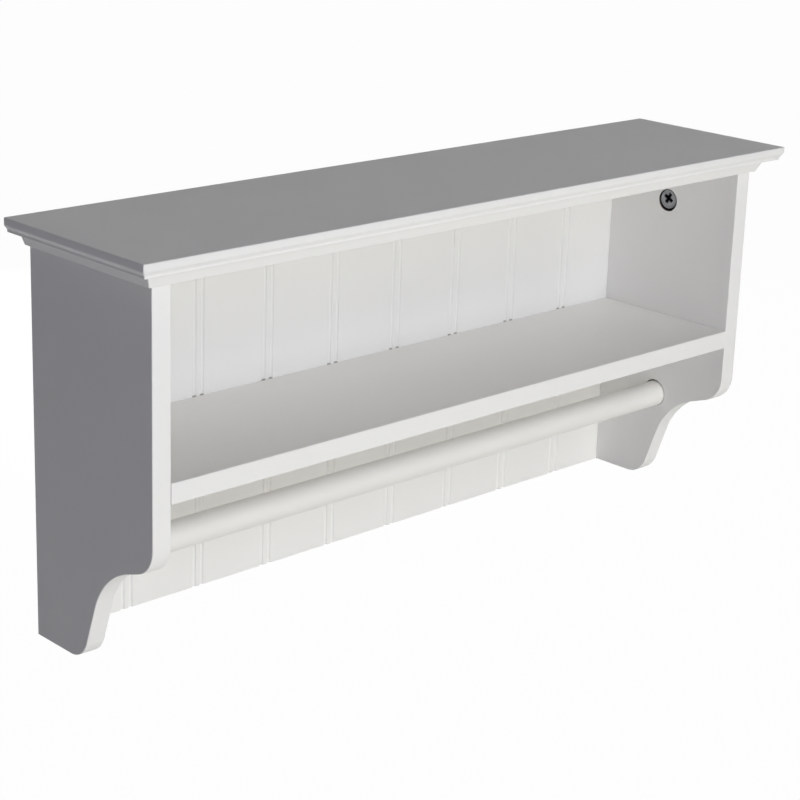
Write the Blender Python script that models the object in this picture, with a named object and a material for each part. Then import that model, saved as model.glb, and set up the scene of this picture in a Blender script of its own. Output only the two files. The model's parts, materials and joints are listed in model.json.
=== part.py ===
# Wall shelf with a towel rod: a stepped top board on two S-curved side panels, a shelf board,
# a grooved back panel and a loose round rod under the shelf. Lengths are in metres and +Z is up.
# The origin is on the wall plane, at the middle of the top board's rear edge. The front faces -Y.

import math

import bmesh
import bpy
from mathutils import Matrix, Vector

for old in list(bpy.data.objects):
    bpy.data.objects.remove(old, do_unlink=True)

# Boards
top_length = 0.520
top_thickness = 0.017
panel_thickness = 0.012
panel_depth = 0.109
side_overhang = 0.016
front_overhang = 0.015
compartment_height = 0.108
towel_space_height = 0.109
arris_round = 0.0006

# Routed edge of the top board, from the top face down: a plain face, a chamfer, a rounded nose,
# an undercut, and a lower step that leans inward
edge_face_height = 0.0043
edge_chamfer_width = 0.0019
edge_chamfer_height = 0.0023
nose_height = 0.0084
nose_round = 0.0009
lower_step_inset = 0.0090
lower_step_lean = 0.0038

# Lower end of a side panel: a rounded tongue at the front, a hollow curve and a rounded toe
tongue_drop = 0.03575
tongue_radius = 0.019
tongue_slope = math.radians(19.0)
hollow_radius = 0.0483
toe_setback = 0.0440
toe_radius = 0.0168
toe_slope = math.radians(71.0)

# Thin back panel in rebates of the side panels, flush behind, with grooves in pairs
back_thickness = 0.0025
rebate_width = 0.005
groove_pitch = 0.0527
groove_pair_spacing = 0.0057
groove_width = 0.0022
groove_depth = 0.0011

# Hanging rail behind the top board's front edge
rail_height = 0.030
rail_thickness = 0.012

# Towel rod and its blind sockets
rod_diameter = 0.0174
rod_drop = 0.0464
rod_setback = 0.0516
rod_chamfer = 0.0008
socket_web = 0.0037
socket_clearance = 0.0005
rod_end_play = 0.0007

# Gaps between pieces, and how far a cutter runs past a face
joint_gap = 0.0002
fit_gap = 0.0003
overrun = 0.001

# Cam locks: the cam's axis stands bolt_reach from the joint, and the bolt runs in mid-board
fitting_setback = 0.052
bolt_reach = 0.028
cam_bore_diameter = 0.0152
cam_clearance = 0.0005
cam_draw = 0.0002
cam_recess = 0.0003
cam_arris = 0.0003
cam_floor_gap = 0.0009
cam_locked_wall = 0.0019
cam_released_wall = 0.0012
cam_travel = math.radians(180.0)
cross_reach = 0.0031
cross_arm_width = 0.0016
cross_depth_share = 0.68
cross_floor_share = 0.62
cross_turn = math.radians(28.0)
bolt_head_radius = 0.0026
bolt_head_length = 0.0025
bolt_head_round = 0.0007
bolt_neck_radius = 0.0014
bolt_shank_radius = 0.0027
bolt_collar_radius = 0.0031
bolt_collar_length = 0.0012
bolt_thread_radius = 0.0025
bolt_thread_point = 0.0008
shank_hole_radius = 0.0035

# Wooden dowels beside the cam locks and in the ends of the rail
dowel_radius = 0.003
dowel_edge_depth = 0.018
dowel_chamfer = 0.0008
dowel_flute_depth = 0.00025
dowel_rear_setback = 0.020
dowel_front_setback = 0.024
rail_dowel_edge = 0.0068
blind_web = 0.003

# Keyhole hangers let into the back, with two screws each and a pocket for the wall screw's head
hanger_inset = 0.029
hanger_thickness = 0.0015
hanger_corner = 0.003
hanger_web = 0.0015
hanger_end_web = 0.0025
hanger_screw_spacing = 0.028
window_clearance = 0.0004
keyhole_radius = 0.0042
keyhole_slot_half = 0.0022
keyhole_travel = 0.0065
pocket_margin = 0.0008
pocket_depth = 0.006
screw_head_radius = 0.003
screw_shank_radius = 0.0014
screw_point = 0.002

# Panel pins that hold the back
pin_head_radius = 0.0014
pin_head_thickness = 0.0006
pin_shank_radius = 0.0007
pin_length = 0.012
pin_point = 0.0012
pin_top_setback = 0.045
pin_bottom_setback = 0.020
pin_hanger_clearance = 0.0435

# Facets
rod_sides = 48
cam_sides = 36
small_round_sides = 16
dowel_flutes = 8
pin_sides = 8
arc_sagitta = 0.00004
crease_angle = math.radians(35.0)
weld_distance = 1e-7
point_share = 0.35

# Sizes that follow
top_depth = panel_depth + front_overhang
roof_z = top_thickness / 2
underside_z = -top_thickness / 2
carcass_top_z = underside_z - joint_gap
shelf_top_z = underside_z - compartment_height
shelf_middle_z = shelf_top_z - panel_thickness / 2
shelf_bottom_z = shelf_top_z - panel_thickness
bottom_z = shelf_bottom_z - towel_space_height
outer_x = top_length / 2 - side_overhang
inner_x = outer_x - panel_thickness
panel_x = (outer_x + inner_x) / 2
board_end_x = inner_x - joint_gap
inside_y = back_thickness + joint_gap
shelf_depth = panel_depth - inside_y
rail_y = inside_y + rail_thickness / 2
rail_z = carcass_top_z - rail_height / 2
face_hole_depth = panel_thickness - blind_web
dowel_hole_radius = dowel_radius + fit_gap
rod_radius = rod_diameter / 2
rod_z = shelf_bottom_z - rod_drop
socket_radius = rod_radius + socket_clearance
socket_depth = panel_thickness - socket_web
socket_lift = socket_clearance - fit_gap
bolt_depth = panel_thickness / 2
cam_bore_radius = cam_bore_diameter / 2
cam_bore_depth = bolt_depth + bolt_head_radius + cam_floor_gap
cam_radius = cam_bore_radius - cam_clearance
cam_bottom = cam_bore_depth - fit_gap
chamber_top = bolt_depth - bolt_head_radius - fit_gap
locked_radius = cam_radius - cam_locked_wall
released_radius = cam_radius - cam_released_wall
neck_slot_half = bolt_neck_radius + fit_gap
bolt_shoulder = math.sqrt((locked_radius - fit_gap) ** 2 - bolt_head_radius**2)
hanger_x = inner_x - hanger_inset
hanger_half_length = hanger_screw_spacing / 2 + screw_head_radius + hanger_end_web
pin_x = hanger_x - hanger_half_length - pin_hanger_clearance
hanger_front_y = inside_y - fit_gap
hanger_rear_y = hanger_front_y - hanger_thickness
pocket_radius = keyhole_radius + pocket_margin
screw_length = inside_y + rail_thickness - blind_web - hanger_rear_y

side_words = {-1: "left", 1: "right"}


def linear(hex_colour):
    """An sRGB colour such as "e2e1de" as the linear values that a shader takes."""
    shares = [int(hex_colour[i:i + 2], 16) / 255 for i in (0, 2, 4)]
    return [s / 12.92 if s <= 0.04045 else ((s + 0.055) / 1.055) ** 2.4 for s in shares] + [1.0]


def material(name, colour, roughness, metallic=0.0):
    made = bpy.data.materials.new(name)
    made.use_nodes = True
    shader = made.node_tree.nodes["Principled BSDF"]
    shader.inputs["Base Color"].default_value = linear(colour)
    shader.inputs["Roughness"].default_value = roughness
    shader.inputs["Metallic"].default_value = metallic
    made.diffuse_color = linear(colour)
    return made


def placement(origin, x_way, z_way):
    """Where a piece goes: its origin, and the world directions of its own +X and +Z."""
    x_axis = Vector(x_way)
    z_axis = Vector(z_way)
    turned_axes = Matrix((x_axis, z_axis.cross(x_axis), z_axis)).transposed()
    return Matrix.Translation(origin) @ turned_axes.to_4x4()


def piece(name, bm, finish, placed=Matrix(), smooth=True):
    """Object from a finished bmesh, placed by its location and rotation."""
    bmesh.ops.remove_doubles(bm, verts=bm.verts, dist=weld_distance)
    bmesh.ops.recalc_face_normals(bm, faces=bm.faces)
    mesh = bpy.data.meshes.new(name)
    bm.to_mesh(mesh)
    bm.free()
    if smooth:
        mesh.shade_smooth()
        mesh.set_sharp_from_angle(angle=crease_angle)
    if finish:
        mesh.materials.append(finish)
    made = bpy.data.objects.new(name, mesh)
    bpy.context.collection.objects.link(made)
    made.location = placed.to_translation()
    made.rotation_euler = placed.to_euler()
    return made


def cutter(name, bm, placed=Matrix()):
    made = piece(f"{name}_cutter", bm, None, placed, smooth=False)
    made.hide_render = True
    made.display_type = "WIRE"
    return made


def cut(board, *tools):
    for tool in tools:
        modifier = board.modifiers.new(tool.name, "BOOLEAN")
        modifier.operation = "DIFFERENCE"
        modifier.solver = "EXACT"
        modifier.object = tool


def loft(bm, rings, closed=True):
    """Walls between rings of equal count, and a flat cap on the first and last ring."""
    loops = [[bm.verts.new(point) for point in ring] for ring in rings]
    count = len(loops[0])
    for lower, upper in zip(loops, loops[1:]):
        for i in range(count if closed else count - 1):
            j = (i + 1) % count
            bm.faces.new((lower[i], lower[j], upper[j], upper[i]))
    bm.faces.new(list(reversed(loops[0])))
    bm.faces.new(loops[-1])
    return loops


def turned(profile, sides):
    """Body turned about its own +X from (place along X, radius) pairs."""
    turns = [2 * math.pi * i / sides for i in range(sides)]
    bm = bmesh.new()
    loft(bm, [[(x, r * math.cos(a), r * math.sin(a)) for a in turns] for x, r in profile])
    return bm


def rod_between(start, end, radius, sides):
    return turned([(start, radius), (end, radius)], sides)


def prism(outline, low, high, axis):
    """Outline drawn out along one axis. Its points are the other two coordinates, in order."""
    bm = bmesh.new()
    loft(bm, [[(*point[:axis], level, *point[axis:]) for point in outline] for level in (low, high)])
    return bm


def filleted(corners):
    """Outline through (u, v, radius) corners. A radius gives way where an edge is too short."""
    places = [Vector(corner[:2]) for corner in corners]
    count = len(places)
    ways = [(places[i] - places[i - 1]).normalized() for i in range(count)]
    turns = [ways[i - 1].angle_signed(ways[i]) for i in range(count)]
    turns = turns[1:] + turns[:1]
    reach = [corner[2] * math.tan(abs(turn) / 2) for corner, turn in zip(corners, turns)]
    for i in range(count):
        j = (i + 1) % count
        wanted = reach[i] + reach[j]
        room = (places[j] - places[i]).length
        if wanted > room:
            reach[i] *= room / wanted
            reach[j] *= room / wanted
    outline = []
    for place, way, turn, length in zip(places, ways, turns, reach):
        if length == 0:
            outline.append(tuple(place))
            continue
        radius = length / math.tan(abs(turn) / 2)
        start = place - way * length
        inward = Vector((way.y, -way.x)) if turn > 0 else Vector((-way.y, way.x))
        centre = start + inward * radius
        arc_step = 2 * math.acos(max(0.0, 1 - arc_sagitta / radius))
        steps = max(2, math.ceil(abs(turn) / arc_step))
        for step in range(steps + 1):
            swing = Matrix.Rotation(-turn * step / steps, 2)
            outline.append(tuple(centre + swing @ (start - centre)))
    return outline


def rectangle(u_low, v_low, u_high, v_high, radius=0.0):
    corners = [(u_low, v_low), (u_high, v_low), (u_high, v_high), (u_low, v_high)]
    return filleted([(*corner, radius) for corner in corners])


def meeting(place_a, way_a, place_b, way_b):
    """Where two lines in a plane cross."""
    across = way_a[0] * way_b[1] - way_a[1] * way_b[0]
    offset = (place_b[0] - place_a[0], place_b[1] - place_a[1])
    along = (offset[0] * way_b[1] - offset[1] * way_b[0]) / across
    return place_a[0] + along * way_a[0], place_a[1] + along * way_a[1]


def edge_profile():
    """(inset, drop) points down the top board's routed edge."""
    chamfer_end = edge_face_height + edge_chamfer_height
    foot = lower_step_inset + lower_step_lean
    corners = [(0.0, 0.0, arris_round), (0.0, edge_face_height, 0.0), (edge_chamfer_width, chamfer_end, 0.0)]
    corners += [(edge_chamfer_width, nose_height, nose_round), (lower_step_inset, nose_height, 0.0)]
    corners += [(foot, top_thickness, arris_round)]
    # Two more corners close the section in mid-board, and are left off again
    inboard = foot + top_thickness
    corners += [(inboard, top_thickness, 0.0), (inboard, 0.0, 0.0)]
    return filleted(corners)[:-2]


def top_board():
    """Rectangles stacked down the edge profile, drawn in by it at the front and both ends."""
    rings = []
    for inset, drop in edge_profile():
        half = top_length / 2 - inset
        front = inset - top_depth
        z = roof_z - drop
        rings.append([(-half, 0, z), (-half, front, z), (half, front, z), (half, 0, z)])
    bm = bmesh.new()
    loops = loft(bm, rings, closed=False)
    bm.faces.new([loop[0] for loop in loops] + [loop[-1] for loop in reversed(loops)])
    return piece("top_board", bm, white_lacquer)


def side_outline():
    tongue = (-panel_depth, shelf_bottom_z - tongue_drop)
    toe = (-toe_setback, bottom_z)
    tongue_way = (math.cos(tongue_slope), -math.sin(tongue_slope))
    toe_way = (math.cos(toe_slope), -math.sin(toe_slope))
    hollow = meeting(tongue, tongue_way, toe, toe_way)
    corners = [(0.0, carcass_top_z, 0.0), (0.0, bottom_z, 0.0), (*toe, toe_radius)]
    corners += [(*hollow, hollow_radius), (*tongue, tongue_radius), (-panel_depth, carcass_top_z, 0.0)]
    return filleted(corners)


def drawn_in(outline, width):
    """The side outline drawn in by a width, but not from the rear or the top."""
    moved = []
    for i, place in enumerate(outline):
        lines = []
        for start, end in ((outline[i - 1], place), (place, outline[(i + 1) % len(outline)])):
            way = (Vector(end) - Vector(start)).normalized()
            on_rear = start[0] == end[0] == 0
            on_top = start[1] == end[1] == carcass_top_z
            inward = 0.0 if on_rear or on_top else width
            lines += [(place[0] + way.y * inward, place[1] - way.x * inward), way]
        moved.append(meeting(*lines))
    return moved


def side_panel(side):
    """Panel lofted across its thickness, with both arrises eased but for the rear and the top."""
    outline = side_outline()
    half = panel_thickness / 2
    round_shares = [(1.0, 0.0), (1 - math.sqrt(0.5), 1 - math.sqrt(0.5)), (0.0, 1.0)]
    faces = [(inset * arris_round, half - drop * arris_round) for inset, drop in round_shares]
    levels = [(inset, -x) for inset, x in faces] + [(inset, x) for inset, x in reversed(faces)]
    bm = bmesh.new()
    loft(bm, [[(x, y, z) for y, z in drawn_in(outline, inset)] for inset, x in levels])
    placed = Matrix.Translation((side * panel_x, 0, 0))
    return piece(f"{side_words[side]}_side_panel", bm, white_lacquer, placed)


def board(name, depth, height, y, z):
    """Board between the side panels, with its two front arrises eased. (y, z) is its middle."""
    front = -depth / 2
    corners = [(front, -height / 2, arris_round), (-front, -height / 2, 0.0)]
    corners += [(-front, height / 2, 0.0), (front, height / 2, arris_round)]
    bm = prism(filleted(corners), -board_end_x, board_end_x, 0)
    return piece(name, bm, white_lacquer, Matrix.Translation((0, y, z)))


def groove_places():
    """Middles of the grooves, in pairs one pitch apart on both sides of the centre."""
    pairs_a_side = int((inner_x - groove_pair_spacing) / groove_pitch + 0.5)
    pairs = [(i + 0.5 - pairs_a_side) * groove_pitch for i in range(2 * pairs_a_side)]
    return [middle + side * groove_pair_spacing / 2 for middle in pairs for side in (-1, 1)]


def back_panel():
    """Section across the grooves, drawn out along Z."""
    groove_shares = [(-0.5, 0.0), (-0.28, 0.75), (0.0, 1.0), (0.28, 0.75), (0.5, 0.0)]
    half = inner_x + rebate_width - joint_gap
    outline = [(half, back_thickness / 2), (-half, back_thickness / 2), (-half, -back_thickness / 2)]
    for middle in groove_places():
        for across_share, depth_share in groove_shares:
            depth = depth_share * groove_depth
            outline.append((middle + across_share * groove_width, depth - back_thickness / 2))
    outline.append((half, -back_thickness / 2))
    bm = prism(outline, bottom_z, carcass_top_z, 2)
    placed = Matrix.Translation((0, -back_thickness / 2, 0))
    return piece("back_panel", bm, white_panel, placed, smooth=False)


def cut_rebate(side, panel):
    """Rebate for the back panel down the side panel's inner rear edge."""
    reach = sorted((side * (inner_x - overrun), side * (inner_x + rebate_width)))
    outline = rectangle(reach[0], -inside_y, reach[1], overrun)
    bm = prism(outline, bottom_z - overrun, carcass_top_z + overrun, 2)
    cut(panel, cutter(f"{side_words[side]}_rebate", bm))


def cut_socket(side, panel):
    """Blind socket for the rod, set a little high so that the rod lies near its floor."""
    bm = rod_between(-overrun, socket_depth, socket_radius, rod_sides)
    mouth = (side * inner_x, -rod_setback, rod_z + socket_lift)
    cut(panel, cutter(f"{side_words[side]}_socket", bm, placement(mouth, (side, 0, 0), (0, 0, 1))))


def towel_rod():
    """Plain rod about its own +X, which lies along the world's."""
    half = inner_x + socket_depth - rod_end_play
    profile = [(-half, rod_radius - rod_chamfer), (-half + rod_chamfer, rod_radius)]
    profile += [(half - rod_chamfer, rod_radius), (half, rod_radius - rod_chamfer)]
    placed = Matrix.Translation((0, -rod_setback, rod_z))
    return piece("towel_rod", turned(profile, rod_sides), white_lacquer, placed)


# A cam stands upright on its own axis, +Z, with the board's face at z = 0. Its bolt comes in from +X
# and its axis lies bolt_depth below the face. Locked, the bolt's head is at turn 0, where the chamber's
# wall is thickest. The cam turns from there to the head's way in, half a turn away.

def cam_body():
    """Round body with its rim eased, about +Z."""
    profile = [(-cam_bottom, cam_radius), (-cam_recess - cam_arris, cam_radius)]
    profile.append((-cam_recess, cam_radius - cam_arris))
    bm = turned(profile, cam_sides)
    bm.transform(placement((0, 0, 0), (0, 0, 1), (1, 0, 0)))
    return bm


def cam_chamber():
    """Chamber for the bolt's head, open below. Its wall thins evenly from locked to released."""
    outline = []
    for i in range(cam_sides):
        turn = 2 * math.pi * i / cam_sides
        released_share = 1 - abs(turn / math.pi - 1)
        radius = locked_radius + (released_radius - locked_radius) * released_share
        outline.append((radius * math.cos(turn), radius * math.sin(turn)))
    return prism(outline, -cam_bottom - overrun, -chamber_top, 2)


def cam_neck_slot():
    """Slot for the bolt's neck through the wall, over the whole travel."""
    inside = locked_radius - cam_locked_wall
    outside = cam_radius + overrun
    low = -bolt_depth - neck_slot_half
    high = -bolt_depth + neck_slot_half
    first_turn = math.asin(neck_slot_half / locked_radius)
    sections = []
    steps = cam_sides // 2
    for i in range(steps + 1):
        turn = first_turn - (first_turn + cam_travel) * i / steps
        corners = [(inside, low), (outside, low), (outside, high), (inside, high)]
        sections.append([(r * math.cos(turn), r * math.sin(turn), z) for r, z in corners])
    bm = bmesh.new()
    loft(bm, sections)
    return bm


def cam_way_in():
    """Arched opening in the wall where the released head comes in, open below."""
    half = bolt_head_radius + joint_gap
    floor = -cam_bottom - overrun
    crown = half - bolt_depth
    corners = [(-half, floor, 0.0), (half, floor, 0.0), (half, crown, half), (-half, crown, half)]
    return prism(filleted(corners), -cam_radius - overrun, cam_locked_wall - locked_radius, 0)


def cam_cross():
    """Tapered cross for the driver."""
    arm = cross_arm_width / 2
    outline = []
    for quarter in range(4):
        turn = Matrix.Rotation(quarter * math.pi / 2 + cross_turn, 2)
        for place in ((cross_reach, -arm), (cross_reach, arm), (arm, arm)):
            outline.append(turn @ Vector(place))
    depth = (chamber_top - cam_recess) * cross_depth_share
    mouth_share = 1 + (1 - cross_floor_share) * overrun / depth
    levels = [(cross_floor_share, -cam_recess - depth), (mouth_share, overrun - cam_recess)]
    bm = bmesh.new()
    loft(bm, [[(*(place * share), z) for place in outline] for share, z in levels])
    return bm


def cam(name, placed):
    made = piece(name, cam_body(), zinc, placed)
    for shape in (cam_chamber, cam_neck_slot, cam_way_in, cam_cross):
        cut(made, cutter(f"{name}_{shape.__name__}", shape(), placed))


def cam_bolt(name, placed):
    """Bolt from the cam's axis towards +X: head, neck, shank, collar at the joint, plain thread."""
    head_start = bolt_shoulder - bolt_head_length
    shank_start = cam_radius + cam_clearance
    collar_end = bolt_reach + joint_gap - fit_gap
    collar_start = collar_end - bolt_collar_length
    tip = bolt_reach + joint_gap + face_hole_depth - fit_gap
    profile = [(head_start, bolt_head_radius - bolt_head_round)]
    profile += [(head_start + bolt_head_round, bolt_head_radius)]
    profile += [(bolt_shoulder, bolt_head_radius), (bolt_shoulder, bolt_neck_radius)]
    profile += [(shank_start, bolt_neck_radius), (shank_start, bolt_shank_radius)]
    profile += [(collar_start, bolt_shank_radius), (collar_start, bolt_collar_radius)]
    profile += [(collar_end, bolt_collar_radius), (collar_end, bolt_thread_radius)]
    profile += [(tip - bolt_thread_point, bolt_thread_radius), (tip, bolt_thread_radius - bolt_thread_point)]
    middle = placed @ Matrix.Translation((0, 0, -bolt_depth))
    return piece(name, turned(profile, small_round_sides), steel, middle)


def fit_cam_lock(name, placed, cam_board, bolt_board):
    """Cam in the face of one board, its bolt in the other, and the holes for both."""
    upright = placement((-cam_draw, 0, 0), (0, 0, 1), (1, 0, 0))
    bore = rod_between(-cam_bore_depth, overrun, cam_bore_radius, cam_sides)
    cut(cam_board, cutter(f"{name}_bore", bore, placed @ upright))
    middle = placed @ Matrix.Translation((0, 0, -bolt_depth))
    shank_hole = rod_between(locked_radius, bolt_reach + overrun, shank_hole_radius, small_round_sides)
    cut(cam_board, cutter(f"{name}_shank", shank_hole, middle))
    thread_end = bolt_reach + joint_gap + face_hole_depth
    thread_hole = rod_between(bolt_reach, thread_end, bolt_thread_radius + fit_gap, small_round_sides)
    cut(bolt_board, cutter(f"{name}_thread", thread_hole, middle))
    cam(name, placed)
    cam_bolt(name.replace("cam", "cam_bolt"), placed)


def fit_dowel(name, place, way, edge_board, face_board):
    """Fluted dowel across a joint, deeper in the board that is drilled in its edge."""
    placed = placement(place, way, (0, 1, 0))
    face_end = joint_gap + face_hole_depth
    hole = rod_between(-dowel_edge_depth - fit_gap, face_end, dowel_hole_radius, small_round_sides)
    tool = cutter(name, hole, placed)
    cut(edge_board, tool)
    cut(face_board, tool)
    tip_share = 1 - dowel_chamfer / dowel_radius
    face_tip = face_end - fit_gap
    levels = [(-dowel_edge_depth, tip_share), (dowel_chamfer - dowel_edge_depth, 1.0)]
    levels += [(face_tip - dowel_chamfer, 1.0), (face_tip, tip_share)]
    rings = []
    for x, share in levels:
        ring = []
        for i in range(2 * dowel_flutes):
            turn = math.pi * i / dowel_flutes
            radius = (dowel_radius - dowel_flute_depth * (i % 2)) * share
            ring.append((x, radius * math.cos(turn), radius * math.sin(turn)))
        rings.append(ring)
    bm = bmesh.new()
    loft(bm, rings)
    piece(name, bm, beech, placed, smooth=False)


def fit_dowels(side, panel):
    word = side_words[side]
    rows = {"rear": -dowel_rear_setback, "front": dowel_front_setback - panel_depth}
    for row, y in rows.items():
        fit_dowel(f"top_dowel_{word}_{row}", (side * panel_x, y, carcass_top_z), (0, 0, 1), panel, top)
        place = (side * board_end_x, y, shelf_middle_z)
        fit_dowel(f"shelf_dowel_{word}_{row}", place, (side, 0, 0), shelf, panel)
    for row, lift in (("upper", 1), ("lower", -1)):
        z = rail_z + lift * (rail_height / 2 - rail_dowel_edge)
        place = (side * board_end_x, -rail_y, z)
        fit_dowel(f"rail_dowel_{word}_{row}", place, (side, 0, 0), rail, panel)


def hanger_outline(margin):
    """Plate round the pocket's ends and both screws, grown by a margin."""
    half_length = hanger_half_length + margin
    half_height = keyhole_travel / 2 + pocket_radius + hanger_web + margin
    return rectangle(-half_length, -half_height, half_length, half_height, hanger_corner + margin)


def keyhole_outline():
    """Round entry below and a narrow slot above, as one outline about the plate's middle."""
    entry_z = -keyhole_travel / 2
    neck_angle = math.asin(keyhole_slot_half / keyhole_radius)
    outline = []
    for i in range(small_round_sides + 1):
        turn = math.pi / 2 - neck_angle - (2 * math.pi - 2 * neck_angle) * i / small_round_sides
        outline.append((keyhole_radius * math.cos(turn), entry_z + keyhole_radius * math.sin(turn)))
    slot_steps = small_round_sides // 2
    for i in range(slot_steps + 1):
        turn = math.pi - math.pi * i / slot_steps
        outline.append((keyhole_slot_half * math.cos(turn), -entry_z + keyhole_slot_half * math.sin(turn)))
    return outline


def screw_profiles():
    """Countersunk screw along +X from its head's face, and the hole that clears it all round."""
    neck = screw_head_radius - screw_shank_radius
    screw = [(0.0, screw_head_radius), (neck, screw_shank_radius)]
    screw.append((screw_length - screw_point, screw_shank_radius))
    screw.append((screw_length, screw_shank_radius * point_share))
    mouth = screw_head_radius + fit_gap + overrun
    hole = [(-overrun, mouth), (neck, screw_shank_radius + fit_gap)]
    hole.append((screw_length + fit_gap, screw_shank_radius + fit_gap))
    return screw, hole


def fit_hanger(side):
    """Keyhole hanger on the rail's rear, in a window of the back panel, with its two screws."""
    word = side_words[side]
    centre = Matrix.Translation((side * hanger_x, 0, rail_z))
    plate = prism(hanger_outline(0.0), -hanger_front_y, -hanger_rear_y, 1)
    hanger = piece(f"keyhole_hanger_{word}", plate, steel, centre)
    keyhole = prism(keyhole_outline(), -hanger_front_y - overrun, -hanger_rear_y + overrun, 1)
    cut(hanger, cutter(f"{word}_keyhole", keyhole, centre))
    reach = pocket_radius + keyhole_travel / 2
    pocket_outline = rectangle(-pocket_radius, -reach, pocket_radius, reach, pocket_radius)
    pocket = prism(pocket_outline, -inside_y - pocket_depth, -inside_y + overrun, 1)
    cut(rail, cutter(f"{word}_pocket", pocket, centre))
    window = prism(hanger_outline(window_clearance), -inside_y - overrun, overrun, 1)
    cut(back, cutter(f"{word}_window", window, centre))
    screw, hole = screw_profiles()
    for place, way in (("outer", side), ("inner", -side)):
        x = side * hanger_x + way * hanger_screw_spacing / 2
        placed = placement((x, -hanger_rear_y, rail_z), (0, -1, 0), (0, 0, 1))
        tool = cutter(f"hanger_screw_{word}_{place}", turned(hole, small_round_sides), placed)
        cut(hanger, tool)
        cut(rail, tool)
        piece(f"hanger_screw_{word}_{place}", turned(screw, small_round_sides), steel, placed)


def fit_pin(name, x, z, board_behind):
    """Panel pin along +X from its head's face, through the back and into a board."""
    placed = placement((x, 0, z), (0, -1, 0), (0, 0, 1))
    profile = [(0.0, pin_head_radius), (pin_head_thickness, pin_head_radius)]
    profile += [(pin_head_thickness, pin_shank_radius), (pin_length - pin_point, pin_shank_radius)]
    profile.append((pin_length, pin_shank_radius * point_share))
    floor = pin_head_thickness + fit_gap
    hole = [(-overrun, pin_head_radius + fit_gap), (floor, pin_head_radius + fit_gap)]
    hole += [(floor, pin_shank_radius + fit_gap), (pin_length + fit_gap, pin_shank_radius + fit_gap)]
    tool = cutter(name, turned(hole, pin_sides), placed)
    cut(back, tool)
    cut(board_behind, tool)
    piece(name, turned(profile, pin_sides), steel, placed)


def fit_pins():
    """Three pins into each side panel's rebate, into the rail and into the shelf's rear edge."""
    top_z = carcass_top_z - pin_top_setback
    low_z = bottom_z + pin_bottom_setback
    for row, drop_share in enumerate((0.0, 0.5, 1.0), start=1):
        z = top_z + (low_z - top_z) * drop_share
        for side, panel in panels.items():
            fit_pin(f"back_pin_{side_words[side]}_{row}", side * (inner_x + rebate_width / 2), z, panel)
    for place in (-1, 0, 1):
        fit_pin(f"back_pin_rail_{place + 2}", place * pin_x, rail_z, rail)
        fit_pin(f"back_pin_shelf_{place + 2}", place * pin_x, shelf_middle_z, shelf)


white_lacquer = material("white_lacquer", "eeedea", 0.42)
white_panel = material("white_back_panel", "ecebe8", 0.5)
zinc = material("die_cast_zinc", "87888a", 0.45, 1.0)
steel = material("zinc_plated_steel", "b9bcc0", 0.35, 1.0)
beech = material("beech", "d2ae80", 0.7)

top = top_board()
panels = {side: side_panel(side) for side in (-1, 1)}
shelf = board("shelf_board", shelf_depth, panel_thickness, -inside_y - shelf_depth / 2, shelf_middle_z)
rail = board("hanging_rail", rail_thickness, rail_height, -rail_y, rail_z)
back = back_panel()
towel_rod()

for side, panel in panels.items():
    word = side_words[side]
    cut_rebate(side, panel)
    cut_socket(side, panel)
    on_panel = (side * inner_x, -fitting_setback, carcass_top_z - bolt_reach)
    fit_cam_lock(f"top_cam_{word}", placement(on_panel, (0, 0, 1), (-side, 0, 0)), panel, top)
    under_shelf = (side * (board_end_x - bolt_reach), -fitting_setback, shelf_bottom_z)
    fit_cam_lock(f"shelf_cam_{word}", placement(under_shelf, (side, 0, 0), (0, 0, -1)), shelf, panel)
    fit_dowels(side, panel)
    fit_hanger(side)
fit_pins()

print("overall length", top_length, "depth", top_depth, "height", roof_z - bottom_z)
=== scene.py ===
# %% [markdown]
# # A white wall shelf with a towel rod
#
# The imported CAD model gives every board, fitting and joint its place. Each cell below remodels one kind
# of piece on it with Blender's edit-mode operators, as one would by hand. Paint, metal and wood come next,
# and at the end the camera and the lamps that match the photograph.

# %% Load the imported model
import json
import math

import bmesh
import bpy
from mathutils import Matrix, Vector


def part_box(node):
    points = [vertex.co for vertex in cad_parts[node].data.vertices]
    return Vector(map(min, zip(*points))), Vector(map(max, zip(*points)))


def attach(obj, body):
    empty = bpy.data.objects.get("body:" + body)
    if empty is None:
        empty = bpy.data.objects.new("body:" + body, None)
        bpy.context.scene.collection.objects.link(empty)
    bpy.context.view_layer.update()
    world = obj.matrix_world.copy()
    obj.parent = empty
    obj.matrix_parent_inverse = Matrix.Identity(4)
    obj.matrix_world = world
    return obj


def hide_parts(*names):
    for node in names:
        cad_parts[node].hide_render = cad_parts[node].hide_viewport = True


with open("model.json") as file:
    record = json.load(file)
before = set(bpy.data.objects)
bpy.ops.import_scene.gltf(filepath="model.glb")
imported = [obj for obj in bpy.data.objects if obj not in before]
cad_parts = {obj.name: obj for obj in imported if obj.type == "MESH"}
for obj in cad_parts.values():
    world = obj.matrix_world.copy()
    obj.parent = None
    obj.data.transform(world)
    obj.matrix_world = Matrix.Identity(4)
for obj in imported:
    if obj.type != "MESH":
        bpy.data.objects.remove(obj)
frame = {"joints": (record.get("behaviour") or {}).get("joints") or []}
scene = bpy.context.scene
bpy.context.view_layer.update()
mm = 0.001

# %% [markdown]
# ## Moves that every piece needs
#
# Blender's operators act on whatever is selected, and loading the model leaves it all selected. So a piece
# starts with nothing else selected, and faces and edges are then picked in code by where they are. This
# could be done with bmesh alone, but operators are what the menus do, so each line has a button or key.

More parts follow.
